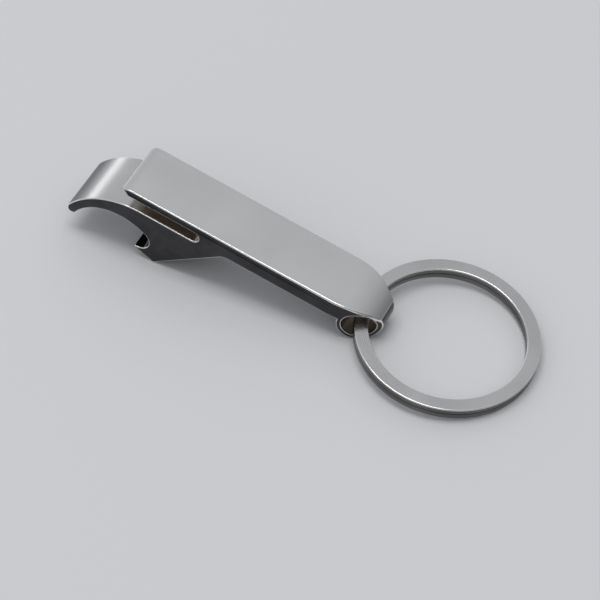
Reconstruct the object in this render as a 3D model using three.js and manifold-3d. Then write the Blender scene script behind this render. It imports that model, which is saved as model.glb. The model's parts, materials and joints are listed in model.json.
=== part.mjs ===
// Keychain bottle opener: a one-piece metal opener with a clip leaf on top, and a flat split ring
// through the eyelet at its tail. Millimetres, +Z up. The opener lies on its tooth and its eyelet,
// with the nose at -X, the key ring at +X and the width along Y.

import * as THREE from 'three';
import { mergeVertices } from 'three/addons/utils/BufferGeometryUtils.js';
import Module from 'manifold-3d';

const wasm = await Module();
wasm.setup();

// Driving dimensions. Profile positions are measured on the side face: x along the flat top towards
// the ring, from near the front of the leaf, and z up from the flat top, so all below it is negative.
const WIDTH = 11.1;
const EDGE_BEVEL = 0.1;

const LEAF_THICKNESS = 1.65;
const LEAF_FRONT = { x: 0.8, z: -3.2, radius: 3.2 };
const LEAF_TIP = { x: -1.15, land: 0.18 };
const LEAF_CHISEL_END = 0.3;
const CLIP_SLOT_HEIGHT = 2.35;
const CLIP_SLOT_END = 14.3;
const BAR_THICKNESS = 3.65;

const NOSE_TOP = { x: 3.2, radius: 14.6, endZ: -12.2 };
const NOSE_UNDER = { x: 0.07, z: -16.84, radius: 9.09, endZ: -13.4 };
const NOSE_TIP = { x: -9.9, z: -13.85, radius: 0.8 };
const THROAT = { x: 3.9, z: -11, radius: 2.15 };
const TOOTH_TIP = { x: 3.65, land: 0.25 };
const TOOTH_HEEL = { x: 7.7, z: -15, radius: 0.6 };
const SLANT_TOP_X = 19.4;
const SLANT_FILLET = 2.6;

const EYE = { x: 45, z: -4.1, radius: 3.7 };
const EYE_HOLE = { x: 44.95, z: -4.05, radius: 2.7, flare: 0.25 };
const TAIL_DROP = { x: 41.7, radius: 11.5 };
const TAIL_CORNER = { x: 39, radius: 15 };

const RING_OUTER_RADIUS = 16;
const RING_BAND = 2.4;
const RING_COIL_THICKNESS = 1.15;
const RING_COIL_GAP = 0.1;
const RING_JOG = THREE.MathUtils.degToRad(20);
const RING_END_GAP = THREE.MathUtils.degToRad(1);
const RING_EDGE_RADIUS = 0.25;
const RING_REACH = 13.95; // from the axis of the eyelet hole to the centre of the ring
const RING_SHIFT = 1.8; // of the ring's centre towards +Y, as it lies in its loose eyelet
const RING_SAG = 0.15; // the ring's middle plane below the axis of the eyelet hole

const ARC_STEPS = 10;
const HOLE_STEPS = 40;
const RING_STEPS = 144;

// Helpers for outlines.

function angleOf(circle, point) {
  return Math.atan2(point.z - circle.z, point.x - circle.x);
}

function distance(a, b) {
  return Math.hypot(b.x - a.x, b.z - a.z);
}

// The crossing of two circles that lies to the right of the line between their centres.
function rightCrossing(a, b) {
  const gap = distance(a, b);
  const along = (gap * gap + a.radius * a.radius - b.radius * b.radius) / (2 * gap);
  const across = Math.sqrt(a.radius * a.radius - along * along);
  const ux = (b.x - a.x) / gap;
  const uz = (b.z - a.z) / gap;
  return { x: a.x + along * ux + across * uz, z: a.z + along * uz - across * ux };
}

// The arc that rounds a corner between two straight runs.
function cornerArc(from, corner, to, radius) {
  const inward = new THREE.Vector2(from.x - corner.x, from.z - corner.z).normalize();
  const outward = new THREE.Vector2(to.x - corner.x, to.z - corner.z).normalize();
  const half = Math.acos(inward.dot(outward)) / 2;
  const bisector = inward.clone().add(outward).normalize();
  const reach = radius / Math.sin(half);
  const centre = { x: corner.x + bisector.x * reach, z: corner.z + bisector.y * reach };
  const run = radius / Math.tan(half);
  const start = angleOf(centre, { x: corner.x + inward.x * run, z: corner.z + inward.y * run });
  const end = angleOf(centre, { x: corner.x + outward.x * run, z: corner.z + outward.y * run });
  return { ...centre, radius, start, end, clockwise: inward.cross(outward) > 0 };
}

function addArc(outline, arc) {
  outline.absarc(arc.x, arc.z, arc.radius, arc.start, arc.end, arc.clockwise);
}

// The anticlockwise arc of a circle from one of its points to another.
function arcBetween(circle, from, to) {
  return { ...circle, start: angleOf(circle, from), end: angleOf(circle, to), clockwise: false };
}

// The same outline as straight steps, without the doubled points where two arcs meet.
function withoutRepeats(outline) {
  const closest = 0.01;
  const points = outline.getPoints(ARC_STEPS);
  const kept = points.filter((point, i) => point.distanceTo(points.at(i - 1)) > closest);
  return new THREE.Shape(kept);
}

// The highest point of a circle above the profile position x, or its lowest.
function above(circle, x) {
  return { x, z: circle.z + Math.sqrt(circle.radius ** 2 - (x - circle.x) ** 2) };
}

function below(circle, x) {
  return { x, z: circle.z - Math.sqrt(circle.radius ** 2 - (x - circle.x) ** 2) };
}

// The point at height z on the side of a circle that faces the nose.
function noseSide(circle, z) {
  const rise = z - circle.z;
  return { x: circle.x - Math.sqrt(circle.radius * circle.radius - rise * rise), z };
}

// Side profile of the opener, clockwise from the front of its flat top.

function addTail(outline) {
  const drop = { x: TAIL_DROP.x, z: -TAIL_DROP.radius, radius: TAIL_DROP.radius };
  const meeting = rightCrossing(drop, EYE);
  outline.absarc(drop.x, drop.z, drop.radius, Math.PI / 2, angleOf(drop, meeting), true);
  const underside = noseSide(EYE, -BAR_THICKNESS);
  outline.absarc(EYE.x, EYE.z, EYE.radius, angleOf(EYE, meeting), angleOf(EYE, underside), true);
}

function slantTop() {
  return { x: SLANT_TOP_X, z: -BAR_THICKNESS };
}

function heelArc() {
  const tip = below(THROAT, TOOTH_TIP.x);
  const toothFoot = { x: tip.x, z: tip.z - TOOTH_TIP.land };
  return cornerArc(slantTop(), TOOTH_HEEL, toothFoot, TOOTH_HEEL.radius);
}

function addHeelAndTooth(outline) {
  const eyeFoot = noseSide(EYE, -BAR_THICKNESS);
  const tip = below(THROAT, TOOTH_TIP.x);
  addArc(outline, cornerArc(eyeFoot, slantTop(), TOOTH_HEEL, SLANT_FILLET));
  addArc(outline, heelArc());
  outline.lineTo(tip.x, tip.z - TOOTH_TIP.land);
}

// The mouth: up the round throat from the tooth, then forward under the nose.
function addMouth(outline) {
  const roof = rightCrossing(THROAT, NOSE_UNDER);
  const lip = noseSide(NOSE_UNDER, NOSE_UNDER.endZ);
  addArc(outline, arcBetween(THROAT, below(THROAT, TOOTH_TIP.x), roof));
  addArc(outline, arcBetween(NOSE_UNDER, roof, lip));
}

function addNose(outline) {
  const jawTop = -LEAF_THICKNESS - CLIP_SLOT_HEIGHT;
  const brow = { x: NOSE_TOP.x, z: jawTop - NOSE_TOP.radius, radius: NOSE_TOP.radius };
  const lip = noseSide(NOSE_UNDER, NOSE_UNDER.endZ);
  const end = noseSide(brow, NOSE_TOP.endZ);
  addArc(outline, cornerArc(lip, NOSE_TIP, end, NOSE_TIP.radius));
  outline.absarc(brow.x, brow.z, brow.radius, angleOf(brow, end), Math.PI / 2, true);
}

// The slot, then the leaf: chisel-shaped below its tip and curved down to it on top.
function addClipSlot(outline) {
  const radius = CLIP_SLOT_HEIGHT / 2;
  const middle = -LEAF_THICKNESS - radius;
  const tip = above(LEAF_FRONT, LEAF_TIP.x);
  const { x, z, radius: frontRadius } = LEAF_FRONT;
  outline.absarc(CLIP_SLOT_END - radius, middle, radius, -Math.PI / 2, Math.PI / 2, false);
  outline.lineTo(LEAF_CHISEL_END, -LEAF_THICKNESS);
  outline.lineTo(tip.x, tip.z - LEAF_TIP.land);
  outline.absarc(x, z, frontRadius, angleOf(LEAF_FRONT, tip), Math.PI / 2, true);
}

function openerOutline() {
  const outline = new THREE.Shape();
  outline.moveTo(LEAF_FRONT.x, 0);
  outline.lineTo(TAIL_DROP.x, 0);
  addTail(outline);
  addHeelAndTooth(outline);
  addMouth(outline);
  addNose(outline);
  addClipSlot(outline);
  return withoutRepeats(outline);
}

// Solids.

function toSolid(geometry) {
  const bare = geometry.clone();
  bare.deleteAttribute('normal');
  bare.deleteAttribute('uv');
  const merged = mergeVertices(bare, 1e-4);
  const vertProperties = new Float32Array(merged.attributes.position.array);
  const triVerts = new Uint32Array(merged.index.array);
  return new wasm.Manifold(new wasm.Mesh({ numProp: 3, vertProperties, triVerts }));
}

function toGeometry(solid) {
  const mesh = solid.getMesh();
  const geometry = new THREE.BufferGeometry();
  geometry.setAttribute('position', new THREE.BufferAttribute(mesh.vertProperties, 3));
  geometry.setIndex(new THREE.BufferAttribute(mesh.triVerts, 1));
  geometry.computeVertexNormals();
  return geometry;
}

// The side profile across the whole width, with its long edges bevelled. Its Y runs across.
function profileSlab() {
  const geometry = new THREE.ExtrudeGeometry(openerOutline(), {
    depth: WIDTH - 2 * EDGE_BEVEL,
    curveSegments: ARC_STEPS,
    bevelThickness: EDGE_BEVEL,
    bevelSize: EDGE_BEVEL,
    bevelOffset: -EDGE_BEVEL,
    bevelSegments: 1,
  });
  geometry.translate(0, 0, -WIDTH / 2 + EDGE_BEVEL);
  geometry.rotateX(Math.PI / 2);
  return geometry;
}

// The outline seen from above: square at the nose, rounded at both corners of the tail.
function planBlank() {
  const margin = 0.02;
  const half = WIDTH / 2 + margin;
  const front = 2 * NOSE_TIP.x;
  const end = EYE.x + EYE.radius + margin;
  const reach = Math.asin((end - TAIL_CORNER.x) / TAIL_CORNER.radius);
  const side = Math.PI / 2;
  const plan = new THREE.Shape();
  plan.moveTo(front, -half);
  plan.lineTo(TAIL_CORNER.x, -half);
  plan.absarc(TAIL_CORNER.x, TAIL_CORNER.radius - half, TAIL_CORNER.radius, -side, reach - side, false);
  plan.absarc(TAIL_CORNER.x, half - TAIL_CORNER.radius, TAIL_CORNER.radius, side - reach, side, false);
  plan.lineTo(front, half);
  plan.closePath();
  const depth = 3 * Math.abs(TOOTH_HEEL.z);
  const options = { depth, curveSegments: ARC_STEPS, bevelEnabled: false };
  const geometry = new THREE.ExtrudeGeometry(plan, options);
  geometry.translate(0, 0, -depth / 2);
  return geometry;
}

// The eyelet hole with a flared mouth on each side face.
function eyeletDrill() {
  const half = WIDTH / 2;
  const over = 1; // how far the drill reaches past each side face
  const { radius, flare } = EYE_HOLE;
  const profile = [
    new THREE.Vector2(0, -half - over),
    new THREE.Vector2(radius + flare + over, -half - over),
    new THREE.Vector2(radius, -half + flare),
    new THREE.Vector2(radius, half - flare),
    new THREE.Vector2(radius + flare + over, half + over),
    new THREE.Vector2(0, half + over),
  ];
  const geometry = new THREE.LatheGeometry(profile, HOLE_STEPS);
  geometry.translate(EYE_HOLE.x, 0, EYE_HOLE.z);
  return geometry;
}

function openerGeometry() {
  const blank = toSolid(profileSlab()).intersect(toSolid(planBlank()));
  return toGeometry(blank.subtract(toSolid(eyeletDrill())));
}

// Middle line of the split ring's strip: nearly two turns, one above the other, with one jog down.
class SplitRingPath extends THREE.Curve {
  getPoint(t, target = new THREE.Vector3()) {
    const angle = t * (4 * Math.PI - RING_JOG - RING_END_GAP);
    const radius = RING_OUTER_RADIUS - RING_BAND / 2;
    const pitch = RING_COIL_THICKNESS + RING_COIL_GAP;
    const down = THREE.MathUtils.smoothstep(angle, 2 * Math.PI - RING_JOG, 2 * Math.PI);
    const turn = Math.PI + RING_JOG / 2 + angle;
    return target.set(radius * Math.cos(turn), radius * Math.sin(turn), pitch * (0.5 - down));
  }
}

function stripSection() {
  const halfBand = RING_BAND / 2;
  const halfCoil = RING_COIL_THICKNESS / 2;
  const corner = RING_EDGE_RADIUS;
  const section = new THREE.Shape();
  section.moveTo(-halfCoil + corner, -halfBand);
  section.lineTo(halfCoil - corner, -halfBand);
  section.lineTo(halfCoil, -halfBand + corner);
  section.lineTo(halfCoil, halfBand - corner);
  section.lineTo(halfCoil - corner, halfBand);
  section.lineTo(-halfCoil + corner, halfBand);
  section.lineTo(-halfCoil, halfBand - corner);
  section.lineTo(-halfCoil, -halfBand + corner);
  section.closePath();
  return section;
}

function splitRingGeometry() {
  return new THREE.ExtrudeGeometry(stripSection(), {
    steps: RING_STEPS,
    extrudePath: new SplitRingPath(),
    bevelEnabled: false,
  });
}

// Placing: the opener leans back onto its heel and its eyelet, and the ring lies against the ground.

function openerPitch() {
  const heel = heelArc();
  const along = EYE.x - heel.x;
  const lift = EYE.z - heel.z;
  const lean = (heel.radius - EYE.radius) / Math.hypot(along, lift);
  return Math.atan2(lift, along) + Math.asin(lean);
}

function ringTilt(holeHeight) {
  const thickness = 2 * RING_COIL_THICKNESS + RING_COIL_GAP;
  const along = RING_OUTER_RADIUS + RING_REACH;
  const across = thickness / 2 + RING_SAG;
  return Math.asin(holeHeight / Math.hypot(along, across)) - Math.atan2(across, along);
}

function metal(colour, roughness) {
  return new THREE.MeshStandardMaterial({ color: colour, roughness, metalness: 1 });
}

function namedMesh(name, geometry, material) {
  const mesh = new THREE.Mesh(geometry, material);
  mesh.name = name;
  return mesh;
}

function openerGroup(pitch) {
  const group = new THREE.Group();
  group.rotation.y = pitch;
  group.add(namedMesh('opener_body', openerGeometry(), metal(0xa9a9ab, 0.3)));
  return group;
}

function ringGroup(hole, tilt) {
  const group = new THREE.Group();
  group.position.set(hole.x, 0, hole.z);
  group.rotation.y = tilt;
  const ring = namedMesh('split_ring', splitRingGeometry(), metal(0xb9b6b3, 0.22));
  ring.position.set(RING_REACH, RING_SHIFT, -RING_SAG);
  group.add(ring);
  return group;
}

function centreOnGround(object) {
  object.updateMatrixWorld(true);
  const box = new THREE.Box3().setFromObject(object, true);
  const middle = box.getCenter(new THREE.Vector3());
  object.position.set(-middle.x, -middle.y, -box.min.z);
}

function buildKeychainOpener() {
  const group = new THREE.Group();
  const pitch = openerPitch();
  const opener = openerGroup(pitch);
  const eye = new THREE.Vector3(EYE.x, 0, EYE.z).applyEuler(opener.rotation);
  opener.position.z = EYE.radius - eye.z;
  const hole = new THREE.Vector3(EYE_HOLE.x, 0, EYE_HOLE.z).applyEuler(opener.rotation);
  hole.add(opener.position);
  group.add(opener, ringGroup(hole, ringTilt(hole.z)));
  centreOnGround(group);
  return group;
}

export default buildKeychainOpener();
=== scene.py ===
import json
import math

import bmesh
import bpy
import numpy as np
from mathutils import Matrix, Vector
from mathutils.geometry import tessellate_polygon


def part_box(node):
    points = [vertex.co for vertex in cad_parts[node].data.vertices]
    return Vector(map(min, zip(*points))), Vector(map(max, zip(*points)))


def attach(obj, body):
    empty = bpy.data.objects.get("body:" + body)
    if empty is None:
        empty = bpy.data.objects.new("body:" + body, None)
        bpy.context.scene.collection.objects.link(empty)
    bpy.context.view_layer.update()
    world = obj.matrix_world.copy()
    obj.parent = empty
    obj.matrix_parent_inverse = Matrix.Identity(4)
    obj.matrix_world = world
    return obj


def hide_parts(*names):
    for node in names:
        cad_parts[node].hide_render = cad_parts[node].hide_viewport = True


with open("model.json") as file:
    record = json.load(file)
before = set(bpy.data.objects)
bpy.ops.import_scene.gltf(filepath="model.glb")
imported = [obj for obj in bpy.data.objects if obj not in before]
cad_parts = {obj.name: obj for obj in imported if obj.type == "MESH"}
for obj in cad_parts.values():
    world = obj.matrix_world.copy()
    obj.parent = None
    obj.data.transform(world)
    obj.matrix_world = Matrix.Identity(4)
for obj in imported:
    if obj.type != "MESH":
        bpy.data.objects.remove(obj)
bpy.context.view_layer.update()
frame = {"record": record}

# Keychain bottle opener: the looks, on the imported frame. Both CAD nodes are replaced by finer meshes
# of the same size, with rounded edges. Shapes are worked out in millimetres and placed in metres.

MM = 0.001

# Opener. Profile positions: x along the flat top from near its front, z up from the flat top.
WIDTH = 11.1
LEAF_THICKNESS = 1.65
LEAF_FRONT = (0.8, -3.2, 3.2)  # circles are (x, z, radius)
LEAF_TIP_X = -1.15
LEAF_TIP_LAND = 0.18
LEAF_CORNER_RADIUS = 0.8
LEAF_CHISEL_END = 0.3
CLIP_SLOT_HEIGHT = 2.35
CLIP_SLOT_END = 14.3
JAW_TOP = -LEAF_THICKNESS - CLIP_SLOT_HEIGHT
BAR_THICKNESS = 3.65

NOSE_TOP = (3.2, JAW_TOP - 14.6, 14.6)
NOSE_TOP_END = -12.2
NOSE_UNDER = (0.07, -16.84, 9.09)
NOSE_UNDER_END = -13.4
NOSE_TIP = (-9.9, -13.85)
NOSE_TIP_RADIUS = 0.8
THROAT = (3.9, -11.0, 2.15)
TOOTH_TIP_X = 3.65
TOOTH_TIP_LAND = 0.25
TOOTH_HEEL = (7.7, -15.0)
TOOTH_HEEL_RADIUS = 0.6
SLANT_TOP = (19.4, -BAR_THICKNESS)
SLANT_FILLET = 2.6

EYE = (45.0, -4.1, 3.7)
EYE_HOLE = (44.95, -4.05, 2.7)
EYE_FLARE = 0.25
TAIL_DROP = (41.7, -11.5, 11.5)
TAIL_CORNER_X = 39.0
TAIL_CORNER_RADIUS = 15.0
TOP_MOUNT_X = 20.0  # where the record's top_face mount lies on the flat top

# Rounded side edges, with EDGE_ROWS faces round each. Past TAIL_CORNER_X and above TAIL_EDGE_LOWEST
# the radius grows by TAIL_EDGE_GROWTH for each millimetre. It shrinks at a sharp tip, and EASE_SLOPE
# is how fast it may grow away from one.
EDGE_RADIUS = 0.17
EDGE_ROWS = 4
TAIL_EDGE_GROWTH = 0.05
TAIL_EDGE_LOWEST = -2.4
TIGHT_TURN_SHARE = 0.7  # the most a radius may be, as a share of the outline's own curve there
EASE_SLOPE = 0.35
STRAIGHT_TURN = 1e-3  # radians: a smaller turn than this counts as straight

# Outline corners that turn by more than CORNER_ANGLE become small curves.
CORNER_ANGLE = math.radians(22)
CORNER_RUN = 0.16
CORNER_RUN_SHARE = 0.45  # of the distance to the next corner, at most
CORNER_CLEARANCE = 1.05  # outline points nearer than this many runs are dropped
CORNER_STEPS = 5

ARC_STEP = 0.2
ARC_ANGLE_STEP = math.radians(7)
HOLE_STEPS = 96
TAIL_CUT = 0.4  # length of the pieces that the tail is cut into before its corners are rounded
CUT_SNAP = 0.03  # a vertex this near to a cut is used as it is

# Where one finish of the opener ends and the next begins.
FINISH_SNAP = 0.05
BROW_SNAP = 0.06
BROW_RUN_IN_X = 1.0
TOP_LOWEST = -0.95
TAIL_TOP_LOWEST = -2.0
SLOT_END_SNAP = 0.1

# Split ring.
RING_RADIUS = 16.0
RING_BAND = 2.4
RING_COIL = 1.15
RING_COIL_GAP = 0.1
RING_JOG = math.radians(20)
RING_END_GAP = math.radians(1)
RING_EDGE_RADIUS = 0.2
RING_STEPS = 720
RING_CORNER_STEPS = 4

FLAT_FACE_WEIGHT = 80  # above 50, large faces pull the smoothed normals towards their own

# Plate colours: the plating's own, and copies of it with painted reflection, highlight and shade. Each
# is a darker and a lighter colour, which the smudges and the grain blend between.
SATIN = ((0.68, 0.68, 0.68), (0.73, 0.727, 0.72))
# Painted dark reflection: the side faces get a near-black copy of the plating.
SIDE_PAINTED_DARK_REFLECTION = ((0.04, 0.04, 0.043), (0.065, 0.065, 0.07))
# Painted warm reflection: the slot floor and the eyelet bore get a brownish copy of the plating.
INSIDE_PAINTED_WARM_REFLECTION = ((0.48, 0.43, 0.375), (0.60, 0.54, 0.48))
# Wear and painted highlight: the rounded edges and the hole's rim get a brighter copy of the plating.
EDGE_WEAR_AND_PAINTED_HIGHLIGHT = ((0.80, 0.79, 0.775), (0.88, 0.87, 0.855))
RING_BAND_PLATE = ((0.61, 0.605, 0.60), (0.67, 0.665, 0.66))
# Painted shade: the ring's walls get a dark copy of its plating.
RING_WALL_PAINTED_SHADE = ((0.12, 0.118, 0.115), (0.18, 0.177, 0.173))
NOSE_SHADE = ((0.08, 0.083, 0.09), -0.0066, -0.0092)  # colour, and the X in metres of its ends
SATIN_GRAIN = 0.2  # bump strength of the grain, and of the lines below
SATIN_LINES = 0.12

# Studio. The room is pale overhead and on the nose's side, and dim on the key ring's side. Each end
# of the blend is (place along ROOM_SLOPE, colour). Each light is (direction, size, power).
ROOM_SLOPE = (-0.5, 0.0, 1.0)
ROOM_DIM = (-0.15, (0.12, 0.12, 0.125))
ROOM_PALE = (0.45, (0.50, 0.51, 0.53))
LIGHT_DISTANCE = 0.8
KEY_LIGHT = ((-0.12, -0.02, 1.0), (0.3, 0.55), 1.9)
LOW_STRIP = ((-0.8, 0.588, 0.12), (0.6, 0.14), 0.25)
FLOOR_REACH = 3.0
FLOOR_COLOUR = (0.8, 0.8, 0.81)
FLOOR_ROUGHNESS = 0.6
FLOOR_SPECULAR = 0.2

# Camera, looking from the direction the photograph was taken from.
CAMERA_AZIMUTH = 23.36
CAMERA_ELEVATION = 50.14
CAMERA_ROLL = 4.09
CAMERA_DISTANCE = 0.4153
CAMERA_LENS = 144.87
CAMERA_TARGET = Vector((0.00044, -0.00274, 0.0))


# Outline helpers. Points are numpy rows (x, z).

def angle_of(circle, point):
    return math.atan2(point[1] - circle[1], point[0] - circle[0])


def arc(circle, start, end):
    """Points on a circle from one angle to another, in even steps."""
    length = abs(end - start)
    steps = max(2, math.ceil(length / min(ARC_ANGLE_STEP, ARC_STEP / circle[2])))
    angles = np.linspace(start, end, steps + 1)
    x = circle[0] + circle[2] * np.cos(angles)
    z = circle[1] + circle[2] * np.sin(angles)
    return list(zip(x, z))


def arc_between(circle, from_point, to_point, clockwise):
    start = angle_of(circle, from_point)
    end = angle_of(circle, to_point)
    if clockwise and end > start:
        end -= 2 * math.pi
    if not clockwise and end < start:
        end += 2 * math.pi
    return arc(circle, start, end)


def right_crossing(a, b):
    """The crossing of two circles that lies to the right of the line between their centres."""
    gap = math.hypot(b[0] - a[0], b[1] - a[1])
    along = (gap * gap + a[2] ** 2 - b[2] ** 2) / (2 * gap)
    across = math.sqrt(a[2] ** 2 - along * along)
    ux, uz = (b[0] - a[0]) / gap, (b[1] - a[1]) / gap
    return a[0] + along * ux + across * uz, a[1] + along * uz - across * ux


def above(circle, x):
    """The highest point of a circle over the profile position x."""
    return x, circle[1] + math.sqrt(circle[2] ** 2 - (x - circle[0]) ** 2)


def below(circle, x):
    """The lowest point of a circle at the profile position x."""
    return x, circle[1] - math.sqrt(circle[2] ** 2 - (x - circle[0]) ** 2)


def nose_side(circle, z):
    """The point at height z on the side of a circle that faces the nose."""
    return circle[0] - math.sqrt(circle[2] ** 2 - (z - circle[1]) ** 2), z


def corner_arc(from_point, corner, to_point, radius):
    """The arc that rounds a corner between two straight runs."""
    corner = np.array(corner)
    back = np.array(from_point) - corner
    ahead = np.array(to_point) - corner
    back /= np.linalg.norm(back)
    ahead /= np.linalg.norm(ahead)
    half = math.acos(back @ ahead) / 2
    bisector = (back + ahead) / np.linalg.norm(back + ahead)
    centre = corner + bisector * radius / math.sin(half)
    run = radius / math.tan(half)
    clockwise = back[0] * ahead[1] - back[1] * ahead[0] > 0
    return arc_between((*centre, radius), corner + back * run, corner + ahead * run, clockwise)


def tail_outline():
    """From the top face round the eyelet to the underside of the bar."""
    meeting = right_crossing(TAIL_DROP, EYE)
    foot = nose_side(EYE, -BAR_THICKNESS)
    top = (TAIL_DROP[0], 0.0)
    return arc_between(TAIL_DROP, top, meeting, True) + arc_between(EYE, meeting, foot, True)


def tooth_outline():
    tip = below(THROAT, TOOTH_TIP_X)
    tip_foot = (tip[0], tip[1] - TOOTH_TIP_LAND)
    bar_foot = nose_side(EYE, -BAR_THICKNESS)
    slant = corner_arc(bar_foot, SLANT_TOP, TOOTH_HEEL, SLANT_FILLET)
    heel = corner_arc(SLANT_TOP, TOOTH_HEEL, tip_foot, TOOTH_HEEL_RADIUS)
    return slant + heel + [tip_foot]


def mouth_outline():
    roof = right_crossing(THROAT, NOSE_UNDER)
    lip = nose_side(NOSE_UNDER, NOSE_UNDER_END)
    throat = arc_between(THROAT, below(THROAT, TOOTH_TIP_X), roof, False)
    return throat + arc_between(NOSE_UNDER, roof, lip, False)


def nose_outline():
    lip = nose_side(NOSE_UNDER, NOSE_UNDER_END)
    end = nose_side(NOSE_TOP, NOSE_TOP_END)
    tip = corner_arc(lip, NOSE_TIP, end, NOSE_TIP_RADIUS)
    return tip + arc_between(NOSE_TOP, end, (NOSE_TOP[0], JAW_TOP), True)


def slot_outline():
    radius = CLIP_SLOT_HEIGHT / 2
    end = (CLIP_SLOT_END - radius, -LEAF_THICKNESS - radius, radius)
    tip = above(LEAF_FRONT, LEAF_TIP_X)
    chisel = [(LEAF_CHISEL_END, -LEAF_THICKNESS), (tip[0], tip[1] - LEAF_TIP_LAND)]
    front = arc_between(LEAF_FRONT, tip, (LEAF_FRONT[0], 0.0), True)
    return arc(end, -math.pi / 2, math.pi / 2) + chisel + front


def without_repeats(points, closest=0.01):
    points = np.array(points, float)
    step = np.linalg.norm(points - np.roll(points, 1, 0), axis=1)
    return points[step > closest]


def turn_angles(points):
    """Signed turn at each point of a closed outline; an anticlockwise turn is positive."""
    back = points - np.roll(points, 1, 0)
    ahead = np.roll(points, -1, 0) - points
    cross = back[:, 0] * ahead[:, 1] - back[:, 1] * ahead[:, 0]
    return np.arctan2(cross, (back * ahead).sum(1))


def positions_along(points):
    """Distance along the closed outline to each point, and its whole length."""
    step = np.linalg.norm(np.roll(points, -1, 0) - points, axis=1)
    return np.concatenate(([0.0], np.cumsum(step)[:-1])), step.sum()


def loop_distance(a, b, length):
    gap = np.abs(a - b) % length
    return np.minimum(gap, length - gap)


def softened(points):
    """The outline with each sharp corner turned into a small curve."""
    along, length = positions_along(points)
    corners = np.flatnonzero(np.abs(turn_angles(points)) > CORNER_ANGLE)
    closed_along = np.append(along, length)
    closed = np.vstack([points, points[:1]])

    def at(place):
        place %= length
        return np.array([np.interp(place, closed_along, closed[:, k]) for k in (0, 1)])

    def clear_of(corner, place):
        return loop_distance(place, along[corner], length) > runs[corner] * CORNER_CLEARANCE

    runs = {}
    for i in corners:
        others = [loop_distance(along[i], along[j], length) for j in corners if j != i]
        runs[i] = min(CORNER_RUN, CORNER_RUN_SHARE * min(others))
    result = []
    for i, point in enumerate(points):
        if i in runs:
            before, after = at(along[i] - runs[i]), at(along[i] + runs[i])
            for t in np.linspace(0, 1, CORNER_STEPS + 1):
                result.append((1 - t) ** 2 * before + 2 * t * (1 - t) * point + t * t * after)
        elif all(clear_of(c, along[i]) for c in runs):
            result.append(point)
    return np.array(result)


def anticlockwise(points):
    x, z = points[:, 0], points[:, 1]
    area = (x * np.roll(z, -1) - z * np.roll(x, -1)).sum()
    return points if area > 0 else points[::-1]


def opener_outline():
    points = tail_outline() + tooth_outline() + mouth_outline() + nose_outline() + slot_outline()
    return anticlockwise(softened(without_repeats(points)))


def inward_normals(points):
    """Inward direction at each point, long enough to keep an offset the same from both edges."""
    ahead = np.roll(points, -1, 0) - points
    ahead /= np.linalg.norm(ahead, axis=1)[:, None]
    back = np.roll(ahead, 1, 0)
    left = np.stack([-(ahead + back)[:, 1], (ahead + back)[:, 0]], 1)
    left /= np.linalg.norm(left, axis=1)[:, None]
    stretch = 1 / np.cos(turn_angles(points) / 2)
    return left * stretch[:, None]


def edge_radii(points):
    """Rounding of the side edges: full, larger at the tail's top, smaller at sharp tips, and eased."""
    along, length = positions_along(points)
    step = (np.roll(along, -1) - np.roll(along, 1)) % length / 2
    turns = turn_angles(points)
    on_tail = points[:, 1] > TAIL_EDGE_LOWEST
    beyond = np.where(on_tail, np.maximum(0.0, points[:, 0] - TAIL_CORNER_X), 0.0)
    radii = EDGE_RADIUS + TAIL_EDGE_GROWTH * beyond
    convex = turns > STRAIGHT_TURN
    radii[convex] = np.minimum(radii[convex], TIGHT_TURN_SHARE * step[convex] / turns[convex])
    gaps = loop_distance(along[:, None], along[None, :], length)
    return (radii[None, :] + EASE_SLOPE * gaps).min(1)


# Opener mesh. Its materials in order: satin top; sides, painted dark reflection; slot and bore, painted
# warm reflection; edges, wear and painted highlight; satin nose, painted shade at its end.

TOP, SIDE, WARM, EDGE, BROW = range(5)


def strip_finish(middle):
    """Which material the band of surface at this place of the outline has, with its finish and any
    painted light in its colour.
    """
    x, z = middle
    off_brow = abs(math.hypot(x - NOSE_TOP[0], z - NOSE_TOP[1]) - NOSE_TOP[2])
    on_brow = off_brow < BROW_SNAP and x < NOSE_TOP[0]
    on_jaw = abs(z - JAW_TOP) < FINISH_SNAP
    if on_brow or (on_jaw and x < BROW_RUN_IN_X):
        return BROW
    in_slot_height = JAW_TOP - FINISH_SNAP < z < -LEAF_THICKNESS + FINISH_SNAP
    if in_slot_height and LEAF_CHISEL_END < x < CLIP_SLOT_END + SLOT_END_SNAP:
        return WARM
    if z > TOP_LOWEST or (x > TAIL_DROP[0] and z > TAIL_TOP_LOWEST):
        return TOP
    return SIDE


def bridge(bm, lower, upper, finishes):
    """Faces between two closed rows of vertices."""
    count = len(lower)
    for i in range(count):
        j = (i + 1) % count
        face = bm.faces.new((lower[i], lower[j], upper[j], upper[i]))
        face.material_index = finishes[i]


def edge_swings():
    """Each row's side and its angle round the quarter curve of the edge: near face to far face."""
    swings = [math.pi / 2 * k / EDGE_ROWS for k in range(EDGE_ROWS + 1)]
    return [(-1, swing) for swing in reversed(swings)] + [(1, swing) for swing in swings]


def outline_rows(bm, outline):
    """Rows of vertices from the near side face, round its edge, across the width, to the far one."""
    normals = inward_normals(outline)
    radii = edge_radii(outline)
    rows = []
    for side, swing in edge_swings():
        inset = radii * (1 - math.cos(swing))
        across = side * (WIDTH / 2 - radii * (1 - math.sin(swing)))
        place = outline + normals * inset[:, None]
        rows.append([bm.verts.new((p[0], y, p[1])) for p, y in zip(place, across)])
    return rows


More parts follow.
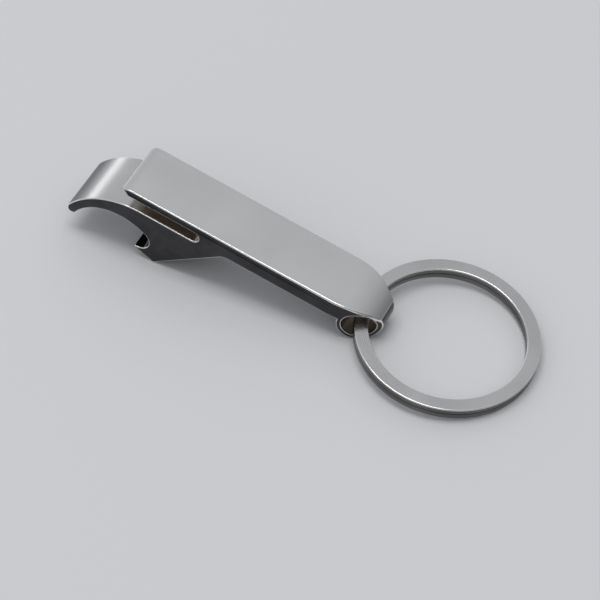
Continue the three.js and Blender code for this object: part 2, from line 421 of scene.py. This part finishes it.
def hole_rows(bm):
    """Rows of vertices from the near mouth of the eyelet hole, through its bore, to the far mouth."""
    angles = np.linspace(0, 2 * math.pi, HOLE_STEPS, endpoint=False)
    rows = []
    for side, swing in edge_swings():
        radius = EYE_HOLE[2] + EYE_FLARE * (1 - math.cos(swing))
        y = side * (WIDTH / 2 - EYE_FLARE * (1 - math.sin(swing)))
        row = []
        for a in angles:
            x = EYE_HOLE[0] + radius * math.cos(a)
            z = EYE_HOLE[1] + radius * math.sin(a)
            row.append(bm.verts.new((x, y, z)))
        rows.append(row)
    return rows


def hole_finish(row):
    """Wear and a painted highlight at the very rim, painted dark reflection in the flare, painted warm
    reflection in the bore.
    """
    if row in (0, 2 * EDGE_ROWS):
        return EDGE
    return WARM if row == EDGE_ROWS else SIDE


def close_side(bm, outer, hole):
    """The side face between the outline and the eyelet hole."""
    loops = [[v.co.copy() for v in outer], [v.co.copy() for v in hole]]
    verts = list(outer) + list(hole)
    for triangle in tessellate_polygon(loops):
        face = bm.faces.new([verts[i] for i in triangle])
        face.material_index = SIDE


def tail_half_width(x):
    """Half the width at x: full along the bar, less where the corners of the tail are rounded."""
    beyond = max(0.0, x - TAIL_CORNER_X)
    return WIDTH / 2 - TAIL_CORNER_RADIUS + math.sqrt(TAIL_CORNER_RADIUS ** 2 - beyond * beyond)


def leaf_half_width(x):
    """Half the width near the front of the leaf, whose two corners are rounded."""
    before = max(0.0, LEAF_TIP_X + LEAF_CORNER_RADIUS - x)
    drop = LEAF_CORNER_RADIUS - math.sqrt(max(0.0, LEAF_CORNER_RADIUS ** 2 - before * before))
    return WIDTH / 2 - drop


def round_leaf(bm):
    """Draws the vertices at the front of the leaf in to its rounded corners."""
    for v in bm.verts:
        if v.co.z > JAW_TOP / 2 and v.co.x < LEAF_TIP_X + LEAF_CORNER_RADIUS:
            v.co.y *= leaf_half_width(v.co.x) / (WIDTH / 2)


def round_tail(bm):
    """Cuts the tail into short lengths and draws their vertices in to its rounded corners."""
    end = EYE[0] + EYE[2]
    for x in np.arange(TAIL_CORNER_X + TAIL_CUT, end, TAIL_CUT):
        geometry = bm.verts[:] + bm.edges[:] + bm.faces[:]
        bmesh.ops.bisect_plane(bm, geom=geometry, dist=CUT_SNAP, plane_co=(x, 0, 0), plane_no=(1, 0, 0))
    for v in bm.verts:
        v.co.y *= tail_half_width(v.co.x) / (WIDTH / 2)


def finish_mesh(name, bm, materials):
    bmesh.ops.recalc_face_normals(bm, faces=bm.faces[:])
    bmesh.ops.scale(bm, vec=(MM, MM, MM), verts=bm.verts[:])
    mesh = bpy.data.meshes.new(name)
    bm.to_mesh(mesh)
    bm.free()
    for polygon in mesh.polygons:
        polygon.use_smooth = True
    for material in materials:
        mesh.materials.append(material)
    piece = bpy.data.objects.new(name, mesh)
    bpy.context.scene.collection.objects.link(piece)
    weighted = piece.modifiers.new("weighted_normals", "WEIGHTED_NORMAL")
    weighted.mode = "FACE_AREA"
    weighted.weight = FLAT_FACE_WEIGHT
    return piece


def opener_mesh(materials):
    bm = bmesh.new()
    outline = opener_outline()
    rows = outline_rows(bm, outline)
    middles = (outline + np.roll(outline, -1, 0)) / 2
    across = [strip_finish(m) for m in middles]
    edge = [EDGE] * len(outline)
    for k in range(len(rows) - 1):
        bridge(bm, rows[k], rows[k + 1], across if k == EDGE_ROWS else edge)
    holes = hole_rows(bm)
    for k in range(len(holes) - 1):
        bridge(bm, holes[k + 1], holes[k], [hole_finish(k)] * HOLE_STEPS)
    close_side(bm, rows[0], holes[0])
    close_side(bm, rows[-1], holes[-1])
    round_leaf(bm)
    round_tail(bm)
    return finish_mesh("opener_shell", bm, materials)


# Split ring mesh. Its own frame has the ring's middle at the origin and its axis along Z. Its
# material indices are in the order of the ring's materials: band, walls with painted shade, and edges
# with wear and painted highlight.

BAND, WALL, EDGE_LINE = range(3)


def ring_section():
    """Cross-section of the flat strip, as (outward, up) points, with rounded corners."""
    corners = []
    half_band = RING_BAND / 2 - RING_EDGE_RADIUS
    half_coil = RING_COIL / 2 - RING_EDGE_RADIUS
    for quarter, (sx, sz) in enumerate(((1, 1), (-1, 1), (-1, -1), (1, -1))):
        start = quarter * math.pi / 2
        for k in range(RING_CORNER_STEPS + 1):
            a = start + math.pi / 2 * k / RING_CORNER_STEPS
            outward = sx * half_band + RING_EDGE_RADIUS * math.cos(a)
            up = sz * half_coil + RING_EDGE_RADIUS * math.sin(a)
            corners.append((outward, up))
    return corners


def smooth_step(t):
    """0 below 0, 1 above 1, and a smooth rise between."""
    t = min(1.0, max(0.0, t))
    return t * t * (3 - 2 * t)


def ring_finishes(on_top):
    """Which material each run of the cross-section has, starting at the outer upper corner.

    The outward corners get the edge colour, wear with a painted highlight. The corners that face the
    other turn of the coil stay as dark as the walls, whose colour is painted shade.
    """
    shown = [EDGE_LINE] * RING_CORNER_STEPS
    hidden = [WALL] * RING_CORNER_STEPS
    upper, lower = (shown, hidden) if on_top else (hidden, shown)
    return upper + [BAND] + upper + [WALL] + lower + [BAND] + lower + [WALL]


def ring_mesh(materials):
    """The strip from end to end: nearly a turn on top, the jog, and nearly a turn below."""
    bm = bmesh.new()
    section = ring_section()
    middle = RING_RADIUS - RING_BAND / 2
    pitch = RING_COIL + RING_COIL_GAP
    span = 4 * math.pi - RING_JOG - RING_END_GAP
    rows = []
    levels = []
    for step in range(RING_STEPS + 1):
        angle = span * step / RING_STEPS
        down = smooth_step((angle - 2 * math.pi + RING_JOG) / RING_JOG)
        turn = math.pi + RING_JOG / 2 + angle
        level = pitch * (0.5 - down)
        direction = Vector((math.cos(turn), math.sin(turn), 0))
        row = []
        for outward, up in section:
            row.append(bm.verts.new(direction * (middle + outward) + Vector((0, 0, level + up))))
        rows.append(row)
        levels.append(level)
    for k in range(RING_STEPS):
        bridge(bm, rows[k], rows[k + 1], ring_finishes(levels[k] > 0))
    bm.faces.new(rows[0])
    bm.faces.new(rows[-1])
    return finish_mesh("ring_coil", bm, materials)


# Materials.

class Nodes:
    """Short calls for building a material's node tree.

    `place` is the position in the piece's own frame, in metres.
    """

    def __init__(self, name, own_frame):
        self.material = bpy.data.materials.new(name)
        self.material.use_nodes = True
        self.tree = self.material.node_tree
        self.shader = self.tree.nodes["Principled BSDF"]
        move, turn, _ = own_frame.inverted().decompose()
        node = self.tree.nodes.new("ShaderNodeMapping")
        node.inputs["Location"].default_value = move
        node.inputs["Rotation"].default_value = turn.to_euler()
        self.link(self.tree.nodes.new("ShaderNodeTexCoord").outputs["Object"], node.inputs["Vector"])
        self.place = node.outputs["Vector"]

    def link(self, source, target):
        self.tree.links.new(source, target)

    def stretched(self, scale):
        node = self.tree.nodes.new("ShaderNodeMapping")
        node.inputs["Scale"].default_value = scale
        self.link(self.place, node.inputs["Vector"])
        return node.outputs["Vector"]

    def noise(self, vector, scale, detail=3.0, distortion=0.0):
        node = self.tree.nodes.new("ShaderNodeTexNoise")
        node.inputs["Scale"].default_value = scale
        node.inputs["Detail"].default_value = detail
        node.inputs["Distortion"].default_value = distortion
        self.link(vector, node.inputs["Vector"])
        return node.outputs["Fac"]

    def rings(self, scale):
        """Noise that changes only with the distance from the Z axis of the piece's own frame."""
        flat = self.tree.nodes.new("ShaderNodeVectorMath")
        flat.operation = "MULTIPLY"
        flat.inputs[1].default_value = (1, 1, 0)
        self.link(self.place, flat.inputs[0])
        length = self.tree.nodes.new("ShaderNodeVectorMath")
        length.operation = "LENGTH"
        self.link(flat.outputs["Vector"], length.inputs[0])
        node = self.tree.nodes.new("ShaderNodeTexNoise")
        node.noise_dimensions = "1D"
        node.inputs["Scale"].default_value = scale
        node.inputs["Detail"].default_value = 4.0
        self.link(length.outputs["Value"], node.inputs["W"])
        return node.outputs["Fac"]

    def ranged(self, value, low, high, from_low=0.3, from_high=0.7):
        """The value, with from_low to from_high stretched onto low to high and held at both ends."""
        node = self.tree.nodes.new("ShaderNodeMapRange")
        node.inputs["From Min"].default_value = from_low
        node.inputs["From Max"].default_value = from_high
        node.inputs["To Min"].default_value = low
        node.inputs["To Max"].default_value = high
        self.link(value, node.inputs["Value"])
        return node.outputs["Result"]

    def add(self, a, b):
        node = self.tree.nodes.new("ShaderNodeMath")
        node.operation = "ADD"
        self.link(a, node.inputs[0])
        self.link(b, node.inputs[1])
        return node.outputs["Value"]

    def colours(self, value, dark, light, low=0.3, high=0.7):
        node = self.tree.nodes.new("ShaderNodeValToRGB")
        node.color_ramp.elements[0].position = low
        node.color_ramp.elements[0].color = (*dark, 1)
        node.color_ramp.elements[1].position = high
        node.color_ramp.elements[1].color = (*light, 1)
        self.link(value, node.inputs["Fac"])
        return node.outputs["Color"]

    def faded(self, colour, other, start, end):
        """The colour, blending along the piece into another between two X places of its own frame."""
        parts = self.tree.nodes.new("ShaderNodeSeparateXYZ")
        self.link(self.place, parts.inputs["Vector"])
        node = self.tree.nodes.new("ShaderNodeMixRGB")
        node.inputs["Color2"].default_value = (*other, 1)
        self.link(self.ranged(parts.outputs["X"], 0.0, 1.0, start, end), node.inputs["Fac"])
        self.link(colour, node.inputs["Color1"])
        return node.outputs["Color"]

    def bump(self, height, strength, distance, under=None):
        node = self.tree.nodes.new("ShaderNodeBump")
        node.inputs["Strength"].default_value = strength
        node.inputs["Distance"].default_value = distance
        self.link(height, node.inputs["Height"])
        if under:
            self.link(under, node.inputs["Normal"])
        return node.outputs["Normal"]

    def finish(self, colour, roughness, normal):
        self.shader.inputs["Metallic"].default_value = 1.0
        self.link(colour, self.shader.inputs["Base Color"])
        self.link(roughness, self.shader.inputs["Roughness"])
        self.link(normal, self.shader.inputs["Normal"])
        return self.material


def satin_nickel(name, own_frame, plate, roughness, shade=None):
    """Satin plate: a fine even grain, faint lines along the part, and handling smudges."""
    n = Nodes(name, own_frame)
    smudge = n.noise(n.place, scale=90.0, distortion=0.3)
    lines = n.noise(n.stretched((90.0, 6000.0, 6000.0)), scale=1.0, detail=4.0)
    grains = n.noise(n.place, scale=9000.0, detail=2.0)
    blend = n.add(n.ranged(smudge, 0.0, 0.5), n.ranged(grains, 0.0, 0.5))
    colour = n.colours(blend, *plate, low=0.2, high=0.8)
    if shade:
        colour = n.faded(colour, *shade)
    rough = n.add(n.ranged(smudge, roughness - 0.01, roughness + 0.02), n.ranged(grains, 0.0, 0.03))
    normal = n.bump(grains, SATIN_GRAIN, distance=4e-6)
    normal = n.bump(lines, SATIN_LINES, distance=3e-6, under=normal)
    return n.finish(colour, rough, normal)


def polished_nickel(name, own_frame, plate, roughness):
    """Mirror plate: slight waviness, smudges, and hairline scratches along the part."""
    n = Nodes(name, own_frame)
    smudge = n.noise(n.place, scale=230.0, detail=5.0, distortion=0.8)
    scratches = n.noise(n.stretched((180.0, 9000.0, 9000.0)), scale=1.0, detail=2.0)
    wave = n.noise(n.place, scale=420.0, detail=1.0)
    colour = n.colours(smudge, *plate)
    scratched = n.ranged(scratches, 0.0, 0.1, from_low=0.62, from_high=0.72)
    rough = n.add(n.ranged(smudge, roughness, roughness + 0.06), scratched)
    normal = n.bump(wave, strength=0.12, distance=2e-5)
    normal = n.bump(scratches, strength=0.08, distance=2e-6, under=normal)
    return n.finish(colour, rough, normal)


def ring_nickel(name, own_frame, plate, roughness):
    """Plated spring strip: fine lines running round the ring, a fine grain, and faint smudges."""
    n = Nodes(name, own_frame)
    lines = n.rings(scale=14000.0)
    smudge = n.noise(n.place, scale=120.0, distortion=0.3)
    grains = n.noise(n.place, scale=8000.0, detail=2.0)
    blend = n.add(n.ranged(smudge, 0.0, 0.6), n.ranged(lines, 0.0, 0.4))
    colour = n.colours(blend, *plate, low=0.2, high=0.8)
    rough = n.add(n.ranged(smudge, roughness, roughness + 0.03), n.ranged(lines, 0.0, 0.05))
    normal = n.bump(lines, strength=0.1, distance=3e-6)
    normal = n.bump(grains, strength=0.1, distance=3e-6, under=normal)
    return n.finish(colour, rough, normal)


def floor_material():
    material = bpy.data.materials.new("floor_matt")
    material.use_nodes = True
    shader = material.node_tree.nodes["Principled BSDF"]
    shader.inputs["Base Color"].default_value = (*FLOOR_COLOUR, 1)
    shader.inputs["Roughness"].default_value = FLOOR_ROUGHNESS
    shader.inputs["Specular IOR Level"].default_value = FLOOR_SPECULAR
    return material


# The object.

def top_frame():
    """Matrix from the opener's profile frame, in metres, to the part's frame."""
    mounts = {m["name"]: m for m in frame["record"]["mounts"]}
    up = Vector(mounts["top_face"]["axis"]).normalized()
    along = Vector((up.z, 0, -up.x))
    low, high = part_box("opener_body")
    origin = Vector(mounts["top_face"]["pos_m"]) - along * TOP_MOUNT_X * MM
    origin.y = (low.y + high.y) / 2
    turn = Matrix((along, Vector((0, 1, 0)), up)).transposed()
    return Matrix.Translation(origin) @ turn.to_4x4()


def ring_frame():
    """Matrix from the ring's own frame to the part's.

    The ring rests on the ground at its far end and leans up into the eyelet.
    """
    low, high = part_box("split_ring")
    thickness = (2 * RING_COIL + RING_COIL_GAP) * MM
    rise = (high.z - low.z) - thickness
    tilt = math.asin(rise / (2 * RING_RADIUS * MM))
    middle = (low + high) / 2
    return Matrix.Translation(middle) @ Matrix.Rotation(tilt, 4, "Y")


def place_piece(piece, own_frame, body, node):
    piece.data.transform(own_frame)
    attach(piece, body)
    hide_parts(node)


def build_opener():
    own = top_frame()
    materials = [
        satin_nickel("top_satin", own, SATIN, 0.32),
        # The side faces' colour is a painted dark reflection.
        polished_nickel("side_painted_dark_reflection", own, SIDE_PAINTED_DARK_REFLECTION, 0.08),
        # The slot's and the bore's colour is a painted warm reflection.
        polished_nickel("inside_painted_warm_reflection", own, INSIDE_PAINTED_WARM_REFLECTION, 0.3),
        # The edges' colour is wear and a painted highlight.
        polished_nickel("edge_wear_and_painted_highlight", own, EDGE_WEAR_AND_PAINTED_HIGHLIGHT, 0.12),
        satin_nickel("nose_satin", own, SATIN, 0.22, NOSE_SHADE),
    ]
    place_piece(opener_mesh(materials), own, "opener", "opener_body")


def build_ring():
    own = ring_frame()
    materials = [
        ring_nickel("ring_plate", own, RING_BAND_PLATE, 0.24),
        # The ring walls' colour is painted shade.
        ring_nickel("ring_wall_painted_shade", own, RING_WALL_PAINTED_SHADE, 0.14),
        # The ring's outward edges get the same wear and painted highlight.
        ring_nickel("ring_edge_wear_and_painted_highlight", own, EDGE_WEAR_AND_PAINTED_HIGHLIGHT, 0.14),
    ]
    place_piece(ring_mesh(materials), own, "key_ring", "split_ring")


# The studio.

def build_floor():
    mesh = bpy.data.meshes.new("floor")
    corners = [(x * FLOOR_REACH, y * FLOOR_REACH, 0) for x, y in ((-1, -1), (1, -1), (1, 1), (-1, 1))]
    mesh.from_pydata(corners, [], [(0, 1, 2, 3)])
    mesh.materials.append(floor_material())
    floor = bpy.data.objects.new("floor", mesh)
    bpy.context.scene.collection.objects.link(floor)


def soft_light(name, direction, size, power):
    """A rectangular lamp at the standard distance, facing the object."""
    data = bpy.data.lights.new(name, "AREA")
    data.shape = "RECTANGLE"
    data.size, data.size_y = size
    data.energy = power
    light = bpy.data.objects.new(name, data)
    light.location = Vector(direction).normalized() * LIGHT_DISTANCE
    light.rotation_euler = Vector(direction).to_track_quat("Z", "Y").to_euler()
    bpy.context.scene.collection.objects.link(light)


def build_room():
    """The world's colour, blended along ROOM_SLOPE."""
    world = bpy.data.worlds.new("studio")
    world.use_nodes = True
    tree = world.node_tree
    direction = tree.nodes.new("ShaderNodeTexCoord")
    slope = tree.nodes.new("ShaderNodeVectorMath")
    slope.operation = "DOT_PRODUCT"
    slope.inputs[1].default_value = ROOM_SLOPE
    amount = tree.nodes.new("ShaderNodeMapRange")
    amount.inputs["From Min"].default_value = ROOM_DIM[0]
    amount.inputs["From Max"].default_value = ROOM_PALE[0]
    blend = tree.nodes.new("ShaderNodeMixRGB")
    blend.inputs["Color1"].default_value = (*ROOM_DIM[1], 1)
    blend.inputs["Color2"].default_value = (*ROOM_PALE[1], 1)
    tree.links.new(direction.outputs["Generated"], slope.inputs[0])
    tree.links.new(slope.outputs["Value"], amount.inputs["Value"])
    tree.links.new(amount.outputs["Result"], blend.inputs["Fac"])
    tree.links.new(blend.outputs["Color"], tree.nodes["Background"].inputs["Color"])
    bpy.context.scene.world = world


def build_camera():
    azimuth, elevation = math.radians(CAMERA_AZIMUTH), math.radians(CAMERA_ELEVATION)
    flat = math.cos(elevation)
    back = Vector((math.sin(azimuth) * flat, -math.cos(azimuth) * flat, math.sin(elevation)))
    right = Vector((math.cos(azimuth), math.sin(azimuth), 0))
    up = back.cross(right)
    roll = math.radians(CAMERA_ROLL)
    turned_right = right * math.cos(roll) + up * math.sin(roll)
    turned_up = up * math.cos(roll) - right * math.sin(roll)
    data = bpy.data.cameras.new("camera")
    data.lens = CAMERA_LENS
    data.clip_start = 0.01
    camera = bpy.data.objects.new("camera", data)
    turn = Matrix((turned_right, turned_up, back)).transposed()
    camera.matrix_world = Matrix.Translation(CAMERA_TARGET + back * CAMERA_DISTANCE) @ turn.to_4x4()
    bpy.context.scene.collection.objects.link(camera)
    bpy.context.scene.camera = camera


build_opener()
build_ring()
build_floor()
build_room()
soft_light("key", *KEY_LIGHT)
soft_light("low_strip", *LOW_STRIP)
build_camera()
bpy.context.scene.view_settings.view_transform = "Standard"
